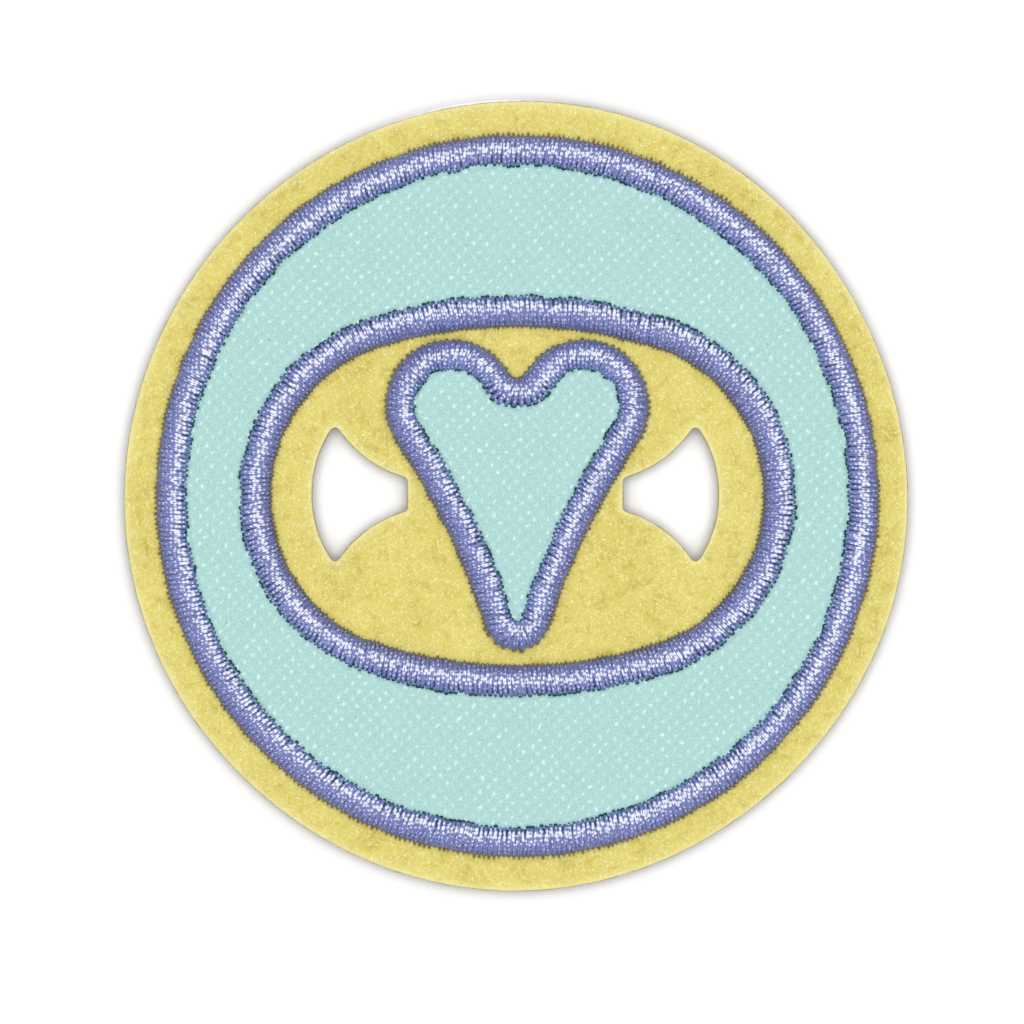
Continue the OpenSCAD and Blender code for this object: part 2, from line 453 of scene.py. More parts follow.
def cut_outs(settings):
    """Edges of the two cut-outs: each an outer arc, a flat inner edge and two felt lobes.

    Small arcs round the four corners. The flat edge is an arc of a very large radius. The left
    one is the right one's mirror image, and both are cut a trace off the middle.
    """
    flat_r = 1.0
    corner = settings.cut_corner_r
    end = (settings.cut_end_x, 0)
    lobe = tuple(settings.cut_lobe)
    lobe_r = settings.cut_lobe_r
    tip = crossing(lobe, lobe_r + corner, end, settings.cut_end_r - corner)
    heel_x = settings.cut_flat_x + corner
    heel_y = lobe[1] - np.sqrt((lobe_r + corner) ** 2 - (lobe[0] - heel_x) ** 2)
    centres = [
        end, tip, lobe, (heel_x, heel_y), (settings.cut_flat_x + flat_r, 0),
        (heel_x, -heel_y), (lobe[0], -lobe[1]), (tip[0], -tip[1]),
    ]
    radii = [settings.cut_end_r, corner, -lobe_r, corner, flat_r, corner, -lobe_r, corner]
    right = Outline(centres, radii)
    shift = np.array(settings.cut_shift)
    return [right.moved(shift), right.mirrored().moved(shift)]


def outline_area(outline):
    """Area inside an outline, from the corners of a fine polygon on it."""
    corner = outline.at(np.linspace(0, outline.total, 2000, endpoint=False))[0]
    after = np.roll(corner, -1, axis=0)
    return float((corner[:, 0] * after[:, 1] - after[:, 0] * corner[:, 1]).sum() / 2)


# Cords

class Cord:
    """Satin stitches round an outline, from needle hole to needle hole.

    The fabric lies on the side of the outline that fabric_side names, 1 outside and -1 inside,
    and the felt on the other. Along the fabric's edge the holes lie half a pitch and the lean
    further on, and each strays a little from its place.
    """

    def __init__(self, solid, outline, width, fabric_side, settings, seed):
        self.solid = solid
        self.outline = outline
        self.width = width
        self.fabric_side = fabric_side
        self.seed = seed
        self.count = round(outline.total / settings.pitch)
        self.pitch = outline.total / self.count
        draw = np.random.default_rng(seed)

        def stray(share):
            """Random strays, some of each hole's own and some that its neighbours share."""
            own = draw.normal(0, 1, self.count)
            shared = sum(np.roll(own, step) for step in (-2, -1, 0, 1, 2)) / np.sqrt(5)
            return share * settings.unevenness * (0.7 * own + 0.7 * shared)

        def holes(side, first, reach, reach_stray, biggest, shape, past):
            """A row of needle holes on one side of the outline, and the feet of the stitches.

            The first hole lies this many pitches along, and the feet lie this far out. A hole's
            middle lies past its foot, and its shape is its length along the cord and across.
            """
            return SimpleNamespace(
                side=side,
                first=first,
                length=self.pitch * (np.arange(self.count) + first) + stray(0.5),
                reach=reach + stray(reach_stray),
                size=draw.uniform(0.05 * MM, biggest, self.count),
                shape=shape,
                past=past,
            )

        self.felt = holes(
            side=-fabric_side, first=0.0, reach=width / 2 - 0.02 * MM, reach_stray=0.5,
            biggest=0.22 * MM, shape=(0.85, 1.3), past=0.04 * MM,
        )
        self.fabric = holes(
            side=fabric_side, first=0.5 + settings.lean, reach=width / 2 - settings.inset,
            reach_stray=1.0, biggest=0.23 * MM, shape=(1.4, 1.0), past=0.05 * MM,
        )

    def beside(self, points):
        """How far points lie from the cord's nearest edge, negative under the cord."""
        return np.abs(self.outline.nearest(points)[0]) - self.width / 2

    def hole(self, points, row):
        """1 in a row's needle holes, and fading to 0 round them.

        A hole is an ellipse, and its strength is the exponential of minus the square of the
        distance from its middle over its size.
        """
        outside, length = self.outline.nearest(points)
        place = np.rint(length / self.pitch - row.first).astype(int)
        laps, hole = np.divmod(place, self.count)
        along = (length - row.length[hole] - laps * self.outline.total) / row.shape[0]
        across = (row.side * outside - row.reach[hole] - row.past) / row.shape[1]
        return np.exp(-(np.hypot(along, across) / row.size[hole]) ** 2)


def cords(scene):
    """The patch's three cords, by the name of the piece that each makes."""
    thread, shape = scene.patch_thread, scene.patch_outline
    ring = ring_outline(thread.ring_width)
    oval = oval_outline(thread.oval_width, shape.oval_end_x)
    heart = heart_outline(thread.heart_width, shape)
    return {
        "ring_thread": Cord("ring_stitch", ring, thread.ring_width, -1, thread, seed=11),
        "oval_thread": Cord("oval_stitch", oval, thread.oval_width, 1, thread, seed=12),
        "heart_thread": Cord("motif_stitch", heart, thread.heart_width, -1, thread, seed=13),
    }


# Meshes

def new_piece(name, points, face_groups, material, corner_uv=None, values=None):
    """A mesh object at the origin from arrays of points and of faces, one array a face size.

    corner_uv has a place for each corner of each face, and values has named arrays with a
    number for each point.
    """
    sizes = np.concatenate([np.full(len(group), group.shape[1]) for group in face_groups])
    corners = np.concatenate([group.ravel() for group in face_groups])
    mesh = bpy.data.meshes.new(name)
    mesh.vertices.add(len(points))
    mesh.vertices.foreach_set("co", np.asarray(points, np.float32).ravel())
    mesh.loops.add(len(corners))
    mesh.loops.foreach_set("vertex_index", corners.astype(np.int32))
    mesh.polygons.add(len(sizes))
    mesh.polygons.foreach_set("loop_start", (np.cumsum(sizes) - sizes).astype(np.int32))
    if corner_uv is not None:
        layer = mesh.uv_layers.new(name="Thread")
        layer.uv.foreach_set("vector", np.asarray(corner_uv, np.float32).ravel())
    for key, value in (values or {}).items():
        attribute = mesh.attributes.new(key, "FLOAT", "POINT")
        attribute.data.foreach_set("value", np.asarray(value, np.float32).ravel())
    mesh.update(calc_edges=True)
    mesh.validate()
    # A flat underside isn't smoothed, so that the rim's slope doesn't spread over it.
    normals = np.empty((len(mesh.polygons), 3), np.float32)
    mesh.polygons.foreach_get("normal", normals.ravel())
    mesh.polygons.foreach_set("use_smooth", normals[:, 2] > FACES_DOWN)
    mesh.materials.append(material)
    piece = bpy.data.objects.new(name, mesh)
    bpy.context.scene.collection.objects.link(piece)
    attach(piece, BODY)
    return piece


def unit(vectors):
    """Vectors made one long."""
    return vectors / np.linalg.norm(vectors, axis=-1, keepdims=True)


def tube_faces(count, rings, sides):
    """Quads along tubes of rings of points, and a many-sided cap at each tube's two ends."""
    first = (np.arange(count) * rings * sides)[:, None, None]
    ring = (np.arange(rings - 1) * sides)[None, :, None]
    side = np.arange(sides)[None, None, :]
    after = (side + 1) % sides
    here = first + ring
    quads = np.stack(
        [here + side, here + after, here + after + sides, here + side + sides], -1
    ).reshape(-1, 4)
    starts = (first[:, :, 0] + np.arange(sides)[::-1]).reshape(-1, sides)
    ends = (first[:, :, 0] + (rings - 1) * sides + np.arange(sides)).reshape(-1, sides)
    return [quads, np.concatenate([starts, ends])]


def tubes(centres, up_hint, aside, above):
    """Points of tubes swept along rows of centres, and each row's length so far.

    aside and above say how far the points of each ring lie to the side and up. The frame at a
    ring is its tangent, the hint made square to the tangent, and their product.
    """
    step = np.diff(centres, axis=1)
    length = np.concatenate(
        [np.zeros((len(centres), 1)), np.cumsum(np.linalg.norm(step, axis=2), axis=1)], axis=1
    )
    tangent = unit(np.gradient(centres, axis=1))
    side = unit(np.cross(up_hint, tangent))
    up = np.cross(tangent, side)
    points = (
        centres[:, :, None]
        + aside[..., None] * side[:, :, None]
        + above[..., None] * up[:, :, None]
    )
    return points, length


def waves(points, wavelength, count, seed):
    """Soft random relief of unit strength: a sum of this many plane waves in random directions."""
    draw = np.random.default_rng(seed)
    heading = draw.uniform(0, 2 * pi, count)
    scale = 2 * pi / (wavelength * draw.uniform(0.7, 1.6, count))
    phase = draw.uniform(0, 2 * pi, count)
    along = points[:, :1] * np.cos(heading) + points[:, 1:2] * np.sin(heading)
    return np.sin(along * scale + phase).sum(1) * np.sqrt(2 / count)


def hex_grid(low, high, step):
    """Points of an even triangle grid over a rectangle."""
    x = np.arange(low[0], high[0], step)
    y = np.arange(low[1], high[1], step * np.sqrt(3) / 2)
    shift = (np.arange(len(y)) % 2)[:, None] * step / 2
    grid_x = x[None, :] + shift
    grid_y = np.broadcast_to(y[:, None], grid_x.shape)
    return np.stack([grid_x.ravel(), grid_y.ravel()], -1)


def triangles(points, loops, sides):
    """Triangles that face up, inside each loop whose side is 1 and outside the other loops.

    A loop's points are numbered on and run anticlockwise, so a triangle with all its corners on
    one loop lies inside that loop if the corners, taken anticlockwise, come in its order.
    """
    edges = np.concatenate([np.stack([loop, np.roll(loop, -1)], -1) for loop in loops])
    found = delaunay_2d_cdt(
        [Vector(point) for point in points.tolist()], edges.tolist(), [], 1, 1e-9, False
    )
    if len(found[0]) != len(points):
        raise ValueError("the grid's points meet each other")
    faces = np.array(found[2])
    first, second = (points[faces[:, k]] - points[faces[:, 0]] for k in (1, 2))
    turned = first[:, 0] * second[:, 1] - first[:, 1] * second[:, 0] < 0
    faces[turned] = faces[turned][:, ::-1]
    faces = np.take_along_axis(faces, (faces.argmin(1)[:, None] + np.arange(3)) % 3, axis=1)
    owner = np.full(len(points), -1)
    for number, loop in enumerate(loops):
        owner[loop] = number
    owner = owner[faces]
    on_one = (owner[:, 0] >= 0) & (owner == owner[:, :1]).all(1)
    within = faces[:, 1] < faces[:, 2]
    wanted = np.array(sides)[owner[:, 0]] > 0
    return faces[~on_one | (within == wanted)]


def slab(edges, rows, step, height, wall, under, roughness, seed, seams=()):
    """Points and faces of a closed flat sheet with shaped edges.

    edges holds (outline, side) pairs: the sheet lies inside an outline where side is 1, and
    outside it where side is -1. rows is a table of insets from the edge and spacings along it,
    for rows of points that follow the edges, and inside them lies a triangle grid of this step.
    The face's points are lifted to height(points), and the flat underside lies at under. wall
    is a table of how far each row of the rim lies outwards from the face's edge, and how much
    of the way down, and roughness is how far its points stray. seams is a table of outlines,
    offsets from them and spacings, for further rows in the face.
    """
    draw = np.random.default_rng(seed)
    sides = [side for _, side in edges]
    grid_gap = 0.6 * step
    sole_step = 12 * step
    sole_gap = 6 * step

    def inset(points):
        return np.min([-side * outline.nearest(points)[0] for outline, side in edges], axis=0)

    traced = [
        [
            outline.at(np.arange(count) * outline.total / count, -side * depth) + (side,)
            for depth, spacing in rows
            for count in [round(outline.total / spacing)]
        ]
        for outline, side in edges
    ]
    rims = [rows_of_edge[0] for rows_of_edge in traced]
    inner = [points for rows_of_edge in traced for points, _, _ in rows_of_edge[1:]]
    rim_points = np.concatenate([points for points, _, _ in rims])
    low, high = rim_points.min(0), rim_points.max(0)
    grid = hex_grid(low, high, step)
    grid = grid[inset(grid) > rows[-1][0] + grid_gap]
    for outline, offset, spacing in seams:
        count = round(outline.total / spacing)
        inner.append(outline.at(np.arange(count) * outline.total / count, offset)[0])
        grid = grid[np.abs(outline.nearest(grid)[0] - offset) > grid_gap]
    flat = np.concatenate([rim_points, *inner, grid])
    ends = np.cumsum([len(points) for points, _, _ in rims])
    loops = [np.arange(end - len(rim[0]), end) for end, rim in zip(ends, rims)]
    face = triangles(flat, loops, sides)
    top = np.column_stack([flat, height(flat)])

    points, walls, foot, foot_loops = [top], [], [], []
    count = len(top)
    for loop, (rim, normal, side) in zip(loops, rims):
        above = loop
        rough = draw.normal(0, roughness, (len(wall), len(rim)))
        rough = (rough + np.roll(rough, 1, 1) + np.roll(rough, -1, 1)) / np.sqrt(3)
        for (outwards, down), stray in zip(wall, rough):
            place = rim + side * normal * (outwards + stray)[:, None]
            z = top[loop, 2] * (1 - down) + under * down
            points.append(np.column_stack([place, z]))
            below = count + np.arange(len(rim))
            quads = np.stack([above, below, np.roll(below, -1), np.roll(above, -1)], -1)
            walls.append(quads if side > 0 else quads[:, ::-1])
            count += len(rim)
            above = below
        foot.append(place)
        foot_loops.append(above)
    sole = hex_grid(low, high, sole_step)
    sole = sole[inset(sole) > rows[0][0] + sole_gap]
    points.append(np.column_stack([sole, np.full(len(sole), under)]))
    numbers = np.concatenate([*foot_loops, count + np.arange(len(sole))])
    foot_ends = np.cumsum([len(loop) for loop in foot_loops])
    local = [np.arange(end - len(loop), end) for end, loop in zip(foot_ends, foot_loops)]
    underside = triangles(np.concatenate([*foot, sole]), local, sides)
    return np.concatenate(points), [np.concatenate([face, numbers[underside][:, ::-1]]), *walls]


# Shader nodes

class Steps:
    """Adds nodes to a tree and links them, so that a material reads as a list of steps."""

    def __init__(self, tree):
        self.tree = tree

    def add(self, kind, inputs=None, **settings):
        """A node of a kind with these settings and inputs."""
        node = self.tree.nodes.new(kind)
        for key, value in settings.items():
            setattr(node, key, value)
        self.feed(node, inputs or {})
        return node

    def feed(self, node, inputs):
        """Gives a node its inputs, each a value or another node's socket."""
        for key, value in inputs.items():
            if isinstance(value, bpy.types.NodeSocket):
                self.tree.links.new(value, node.inputs[key])
            else:
                node.inputs[key].default_value = value

    def math(self, operation, *values):
        """The result of a sum on sockets and numbers."""
        return self.add("ShaderNodeMath", dict(enumerate(values)), operation=operation).outputs[0]

    def vector(self, operation, first, second):
        """The result of a sum on vectors. A vector is scaled by a number."""
        inputs = {0: first, "Scale" if operation == "SCALE" else 1: second}
        return self.add("ShaderNodeVectorMath", inputs, operation=operation).outputs[0]

    def turned(self, vector, angle):
        """A vector turned about the Z axis."""
        inputs = {"Vector": vector, "Angle": angle}
        return self.add("ShaderNodeVectorRotate", inputs, rotation_type="Z_AXIS").outputs[0]

    def mix(self, factor, first, second):
        """A colour between two others."""
        inputs = {0: factor, 6: first, 7: second}
        return self.add("ShaderNodeMix", inputs, data_type="RGBA").outputs[2]

    def spread(self, value, low, high, to_low=0.0, to_high=1.0):
        """A value's place between low and high, held there and carried to another range."""
        inputs = {0: value, 1: low, 2: high, 3: to_low, 4: to_high}
        return self.add("ShaderNodeMapRange", inputs).outputs[0]

    def noise(self, vector, scale, detail=2.0, roughness=0.5, distortion=0.0, output="Fac"):
        """Noise from 0 to 1 at a number of repeats per unit of the vector."""
        inputs = {
            "Vector": vector, "Scale": scale, "Detail": detail,
            "Roughness": roughness, "Distortion": distortion,
        }
        return self.add("ShaderNodeTexNoise", inputs).outputs[output]

    def bump(self, height, distance):
        """A normal from a height from 0 to 1 over a real distance."""
        return self.add("ShaderNodeBump", {"Height": height, "Distance": distance}).outputs[0]

    def attribute(self, name):
        """A number that the mesh has for each point."""
        return self.add("ShaderNodeAttribute", attribute_name=name).outputs["Fac"]

    def group(self, tree, inputs):
        """The outputs of a node group placed with its own values."""
        return self.add("ShaderNodeGroup", inputs, node_tree=tree).outputs

    def in_mm(self):
        """Object coordinates in millimetres."""
        return self.vector("SCALE", self.add("ShaderNodeTexCoord").outputs["Object"], 1 / MM)


def new_group(name, inputs, outputs):
    """An empty shader node group with named inputs and outputs, or None if it exists."""
    if name in bpy.data.node_groups:
        return None
    tree = bpy.data.node_groups.new(name, "ShaderNodeTree")
    for key, (kind, default) in inputs.items():
        socket = tree.interface.new_socket(key, in_out="INPUT", socket_type=kind)
        if default is not None:
            socket.default_value = default
    for key in outputs:
        tree.interface.new_socket(key, in_out="OUTPUT", socket_type="NodeSocketFloat")
    return tree


def finish_group(steps, results):
    """Links a group's results to its named outputs."""
    steps.add("NodeGroupOutput", results)
    return steps.tree


def fibre_group():
    """Matted fibres: pale flecks, partly pale fibres and partly a painted highlight where a fibre
    catches the light, gaps between them and a height.

    Noise that is drawn out in three directions gives short fibres that cross, and the
    strongest of the three counts. Soft round noise gathers them in tufts.
    """
    tree = new_group(
        "Matted fibres",
        {"Vector": ("NodeSocketVector", None), "Fineness": ("NodeSocketFloat", 1.0)},
        ["Fleck", "Gap", "Height"],
    )
    if tree is None:
        return bpy.data.node_groups["Matted fibres"]
    steps = Steps(tree)
    given = tree.nodes.new("NodeGroupInput").outputs
    scaled = steps.vector("SCALE", given["Vector"], given["Fineness"])
    strands = None
    for angle in (-35, 25, 85):
        turned = steps.turned(scaled, radians(angle))
        drawn_out = steps.vector("MULTIPLY", turned, (1.3, 4.2, 3.0))
        strand = steps.noise(drawn_out, 1.1, 2.0, 0.6, 0.1)
        strands = strand if strands is None else steps.math("MAXIMUM", strands, strand)
    tufts = steps.noise(scaled, 0.75, 2.0, 0.6, 0.5)
    fine = steps.noise(scaled, 5.5, 2.0, 0.6)
    fleck = steps.math("MULTIPLY", steps.spread(strands, 0.54, 0.76), steps.spread(fine, 0.35, 0.6))
    gap = steps.math("ADD", steps.spread(tufts, 0.5, 0.28), steps.spread(fine, 0.5, 0.2, 0.0, 0.6))
    height = steps.math("ADD", strands, steps.math("MULTIPLY", fine, 0.5))
    return finish_group(steps, {"Fleck": fleck, "Gap": gap, "Height": height})


def mottle_group():
    """Broad and fine mottling from -1 to 1, for any surface that isn't quite even in colour."""
    tree = new_group(
        "Mottling",
        {
            "Vector": ("NodeSocketVector", None),
            "Scale": ("NodeSocketFloat", 1.0),
            "Fine": ("NodeSocketFloat", 0.5),
        },
        ["Amount"],
    )
    if tree is None:
        return bpy.data.node_groups["Mottling"]
    steps = Steps(tree)
    given = tree.nodes.new("NodeGroupInput").outputs
    broad = steps.noise(given["Vector"], given["Scale"], 2.0)
    fine = steps.noise(given["Vector"], steps.math("MULTIPLY", given["Scale"], 14.0), 3.0, 0.7)
    broad = steps.spread(broad, 0.3, 0.7, -1.0, 1.0)
    fine = steps.math("MULTIPLY", steps.spread(fine, 0.3, 0.7, -1.0, 1.0), given["Fine"])
    return finish_group(steps, {"Amount": steps.math("ADD", broad, fine)})


def weave_group():
    """Embossed weave: raised specks on a centred rectangular lattice, and hollows between.

    A raised cosine is (1 + cos t) / 2. A speck is the product of two powers of it, a high one
    across and a low one along, so that it is longer than wide, and leans. A second set lies
    half a repeat further on both ways. The place is shaken first and the strength varies. The
    specks are painted glints, and the hollows are painted shade.
    """
    tree = new_group(
        "Embossed weave",
        {
            "Vector": ("NodeSocketVector", None),
            "Repeat across": ("NodeSocketFloat", 1.32),
            "Repeat along": ("NodeSocketFloat", 1.38),
            "Turn": ("NodeSocketFloat", 0.0),
            "Shake": ("NodeSocketFloat", 0.1),
            "Lean": ("NodeSocketFloat", 0.3),
        },
        ["Height", "Speck", "Hollow shade"],
    )
    if tree is None:
        return bpy.data.node_groups["Embossed weave"]
    steps = Steps(tree)
    given = tree.nodes.new("NodeGroupInput").outputs
    shake = steps.noise(given["Vector"], 1.1, output="Color")
    shake = steps.vector("SUBTRACT", shake, (0.5, 0.5, 0.5))
    shake = steps.vector("SCALE", shake, given["Shake"])
    place = steps.vector("ADD", given["Vector"], shake)
    apart = steps.add("ShaderNodeSeparateXYZ", {0: steps.turned(place, given["Turn"])}).outputs
    across = steps.math("DIVIDE", steps.math("MULTIPLY", apart[0], 2 * pi), given["Repeat across"])
    along = steps.math("DIVIDE", steps.math("MULTIPLY", apart[1], 2 * pi), given["Repeat along"])

    def raised(angle, power):
        cosine = steps.spread(steps.math("COSINE", angle), -1.0, 1.0)
        return steps.math("POWER", cosine, power)

    def speck(shift):
        a = steps.math("ADD", across, shift)
        b = steps.math("ADD", along, shift)
        sway = steps.math("MULTIPLY", steps.math("SINE", b), given["Lean"])
        return steps.math("MULTIPLY", raised(steps.math("SUBTRACT", a, sway), 10.0), raised(b, 6.0))

    specks = steps.math("ADD", speck(0.0), speck(pi))
    strength = steps.spread(steps.noise(given["Vector"], 0.8, 1.0, 0.7), 0.33, 0.66, 0.15, 1.0)
    even = steps.math("MULTIPLY", steps.math("COSINE", across), steps.math("COSINE", along))
    weak = steps.spread(strength, 0.9, 0.3)
    return finish_group(steps, {
        "Height": steps.spread(even, -1.0, 1.0),
        "Speck": steps.math("MULTIPLY", specks, strength),
        "Hollow shade": steps.math("MULTIPLY", steps.spread(even, -0.6, -1.0), weak),
    })


def ply_group():
    """Two twisted plies of fine filaments, from the thread's own length and turn.

    The cosine of twice the turn is 1 on a ply's crown and -1 in the groove between plies.
    The filaments are noise that is drawn out along the thread.
    """
    tree = new_group(
        "Twisted plies",
        {"Vector": ("NodeSocketVector", None)},
        ["Crown", "Groove", "Filament"],
    )
    if tree is None:
        return bpy.data.node_groups["Twisted plies"]
    steps = Steps(tree)
    given = tree.nodes.new("NodeGroupInput").outputs
    apart = steps.add("ShaderNodeSeparateXYZ", {0: given["Vector"]}).outputs
    turn = steps.math("MULTIPLY", apart[1], 2 * pi)
    wave = steps.math("COSINE", steps.math("MULTIPLY", turn, 2.0))
    around = steps.add("ShaderNodeCombineXYZ", {
        0: steps.math("MULTIPLY", apart[0], 0.9),
        1: steps.math("MULTIPLY", steps.math("COSINE", turn), 1.6),
        2: steps.math("MULTIPLY", steps.math("SINE", turn), 1.6),
    }).outputs[0]
    return finish_group(steps, {
        "Crown": steps.spread(wave, -0.2, 0.6),
        "Groove": steps.spread(wave, 0.2, -0.9),
        "Filament": steps.noise(around, 2.6, 2.0, 0.6),
    })


def new_material(name):
    """An empty node material, its steps, and its Principled shader."""
    material = bpy.data.materials.new(name)
    material.use_nodes = True
    material.node_tree.nodes.clear()
    steps = Steps(material.node_tree)
    shader = steps.add("ShaderNodeBsdfPrincipled")
    steps.add("ShaderNodeOutputMaterial", {"Surface": shader.outputs[0]})
    return material, steps, shader


def colour(value):
    """A property's colour with full opacity."""
    return (*value, 1.0)


def felt_material(settings):
    """Matted felt: pale flecks over a soft yellow, mustard in the gaps, and painted shade on the
    cut edge. The flecks are partly painted highlights where fibres catch the light.

    The hole attribute is 1 in the needle holes, which painted shade darkens. The rim attribute
    runs from 0 well inside the felt to 1 at its cut edges.
    """
    material, steps, shader = new_material("Felt")
    place = steps.in_mm()
    fibres = steps.group(fibre_group(), {"Vector": place, "Fineness": 1.0})
    mottle = steps.group(mottle_group(), {"Vector": place, "Scale": 0.25, "Fine": 0.5})
    shade = steps.math("ADD", fibres["Gap"], steps.spread(mottle["Amount"], -0.5, 1.5, 0.0, 0.6))
    shade = steps.math("MULTIPLY", shade, 0.5)
    base = steps.mix(shade, colour(settings.colour), colour(settings.shadow_colour))
    # Pale flecks, partly a painted highlight where fibres catch the light
    fleck = steps.math("MULTIPLY", fibres["Fleck"], 0.9)
    base = steps.mix(fleck, base, colour(settings.fleck_colour))
    # Painted shade in the needle holes
    hole = steps.spread(steps.attribute("hole"), 0.2, 0.85)
    base = steps.mix(hole, base, colour(settings.hole_shade_colour))
    rim = steps.attribute("rim")
    base = steps.mix(steps.math("MULTIPLY", rim, 0.65), base, colour(settings.fleck_colour))
    # Painted shade on the cut edge
    base = steps.mix(steps.spread(rim, 0.85, 1.0, 0.0, 0.8), base, colour(settings.edge_shade_colour))
    steps.feed(shader, {
        "Base Color": base,
        "Roughness": 0.95,
        "Specular IOR Level": 0.2,
        "Sheen Weight": 0.1,
        "Sheen Roughness": 0.5,
        "Normal": steps.bump(fibres["Height"], 0.05 * MM),
    })
    return material


def fibre_material(settings):
    """Loose felt fibres, each in its own shade between the felt's colour and its palest."""
    material, steps, shader = new_material("Felt fibres")
    mottle = steps.group(mottle_group(), {"Vector": steps.in_mm(), "Scale": 1.5, "Fine": 0.3})
    shade = steps.attribute("shade")
    shade = steps.math("ADD", shade, steps.math("MULTIPLY", mottle["Amount"], 0.12))
    shade = steps.spread(shade, 0.0, 1.0)
    steps.feed(shader, {
        "Base Color": steps.mix(shade, colour(settings.colour), colour(settings.fleck_colour)),
        "Roughness": steps.spread(mottle["Amount"], -1.0, 1.0, 0.5, 0.7),
        "Specular IOR Level": 0.4,
    })
    return material


def fabric_material(settings):
    """Coated fabric: smooth and slightly glossy, with painted glints on the weave's raised specks.

    A random grain and painted shade in the weave's hollows darken it towards one colour, and
    painted shade darkens the pinholes and the needle holes. The hole attribute is 1 in the
    needle holes.
    """
    material, steps, shader = new_material("Embossed fabric")
    place = steps.in_mm()
    weave = steps.group(weave_group(), {
        "Vector": place,
        "Repeat across": settings.weave_x / MM,
        "Repeat along": settings.weave_y / MM,
        "Turn": settings.weave_turn,
        "Shake": 0.8,
        "Lean": 0.22,
    })
    mottle = steps.group(mottle_group(), {"Vector": place, "Scale": 0.3, "Fine": 1.2})
    grain = steps.noise(place, 5.0, 2.0, 0.7)
    # Painted shade in the weave's hollows, with random mottling and grain
    shade = steps.math("ADD", weave["Hollow shade"], steps.spread(mottle["Amount"], -1.5, 2.5, 0.0, 0.7))
    shade = steps.math("MULTIPLY", shade, 0.2)
    shade = steps.math("ADD", shade, steps.spread(grain, 0.3, 0.7, -0.1, 0.7))
    base = steps.mix(shade, colour(settings.colour), colour(settings.hollow_shade_and_grain_colour))
    # Painted glints on the raised specks
    speck = steps.math("MULTIPLY", weave["Speck"], 0.95)
    base = steps.mix(speck, base, colour(settings.speck_glint_colour))
    # Painted shade in the pinholes and in the needle holes beside the cords
    pinholes = steps.spread(steps.noise(place, 3.0, 1.0), 0.24, 0.18, 0.0, 0.5)
    hole = steps.spread(steps.attribute("hole"), 0.3, 0.55)
    dark = steps.math("MAXIMUM", pinholes, hole)
    height = steps.math("ADD", weave["Height"], steps.math("MULTIPLY", grain, 0.5))
    steps.feed(shader, {
        "Base Color": steps.mix(dark, base, colour(settings.hole_shade_colour)),
        "Roughness": steps.spread(grain, 0.3, 0.7, 0.4, 0.5),
        "Specular IOR Level": 0.4,
        "Normal": steps.bump(height, 0.03 * MM),
    })
    return material


def thread_material(settings):
    """Shiny two-ply thread, with painted shade between its plies and white painted glints where it
    gleams.

    The glints are painted highlights: spots round evenly spread points, bigger where the
    thread gleams more, where a soft noise lets them and on a ply's crown. The foot attribute
    runs from 0 over the hole in the felt to 1 over the hole in the fabric, and sets painted
    shade at both ends and a painted reflection of the fabric's colour near it. The shade
    attribute differs from strand to strand, and the gleam attribute is 1 where a strand gleams
    most.
    """
    material, steps, shader = new_material("Satin thread")
    along_and_round = steps.add("ShaderNodeUVMap", uv_map="Thread").outputs[0]
    ply = steps.group(ply_group(), {"Vector": along_and_round})
    place = steps.in_mm()
    # Painted shade in the grooves between the plies
    groove = steps.math("MULTIPLY", ply["Groove"], 0.7)
    base = steps.mix(groove, colour(settings.colour), colour(settings.groove_shade_colour))
    # Each strand's random tone darkens towards the same colour
    shade = steps.math("MULTIPLY", steps.attribute("shade"), 0.4)
    base = steps.mix(shade, base, colour(settings.groove_shade_colour))
    # Painted highlights: white glints where the thread gleams
    reach = steps.spread(steps.noise(place, 1.2, 2.0, 0.6), 0.3, 0.7, 0.38, 0.68)
    reach = steps.math("ADD", reach, steps.math("MULTIPLY", ply["Crown"], 0.1))
    reach = steps.math("MULTIPLY", reach, steps.attribute("gleam"))
    from_point = steps.add(
        "ShaderNodeTexVoronoi",
        {"Vector": place, "Scale": 2.35, "Randomness": 0.65},
        voronoi_dimensions="2D",
    ).outputs["Distance"]
    glint = steps.math("SUBTRACT", reach, steps.math("MULTIPLY", from_point, 0.9))
    base = steps.mix(steps.spread(glint, -0.12, 0.12), base, colour(settings.gleam_colour))
    # Painted shade where the thread dives into the needle holes, and a painted reflection of the fabric
    # near it
    ramp = steps.add("ShaderNodeValToRGB", {0: steps.attribute("foot")})
    elements = ramp.color_ramp.elements
    while len(elements) < len(FOOT_SHADE_AND_REFLECTION):
        elements.new(1.0)
    for element, (position, foot_shade) in zip(elements, FOOT_SHADE_AND_REFLECTION):
        element.position = position
        element.color = colour(foot_shade)
    inputs = {0: 1.0, 6: base, 7: ramp.outputs[0]}
    foot_shaded = steps.add("ShaderNodeMix", inputs, data_type="RGBA", blend_type="MULTIPLY").outputs[2]
    height = steps.math("ADD", ply["Crown"], steps.math("MULTIPLY", ply["Filament"], 0.4))
    steps.feed(shader, {
        "Base Color": foot_shaded,
        "Roughness": steps.spread(ply["Filament"], 0.3, 0.7, 0.42, 0.3),
        "Specular IOR Level": 0.8,
        "Normal": steps.bump(height, 0.05 * MM),
    })
    return material


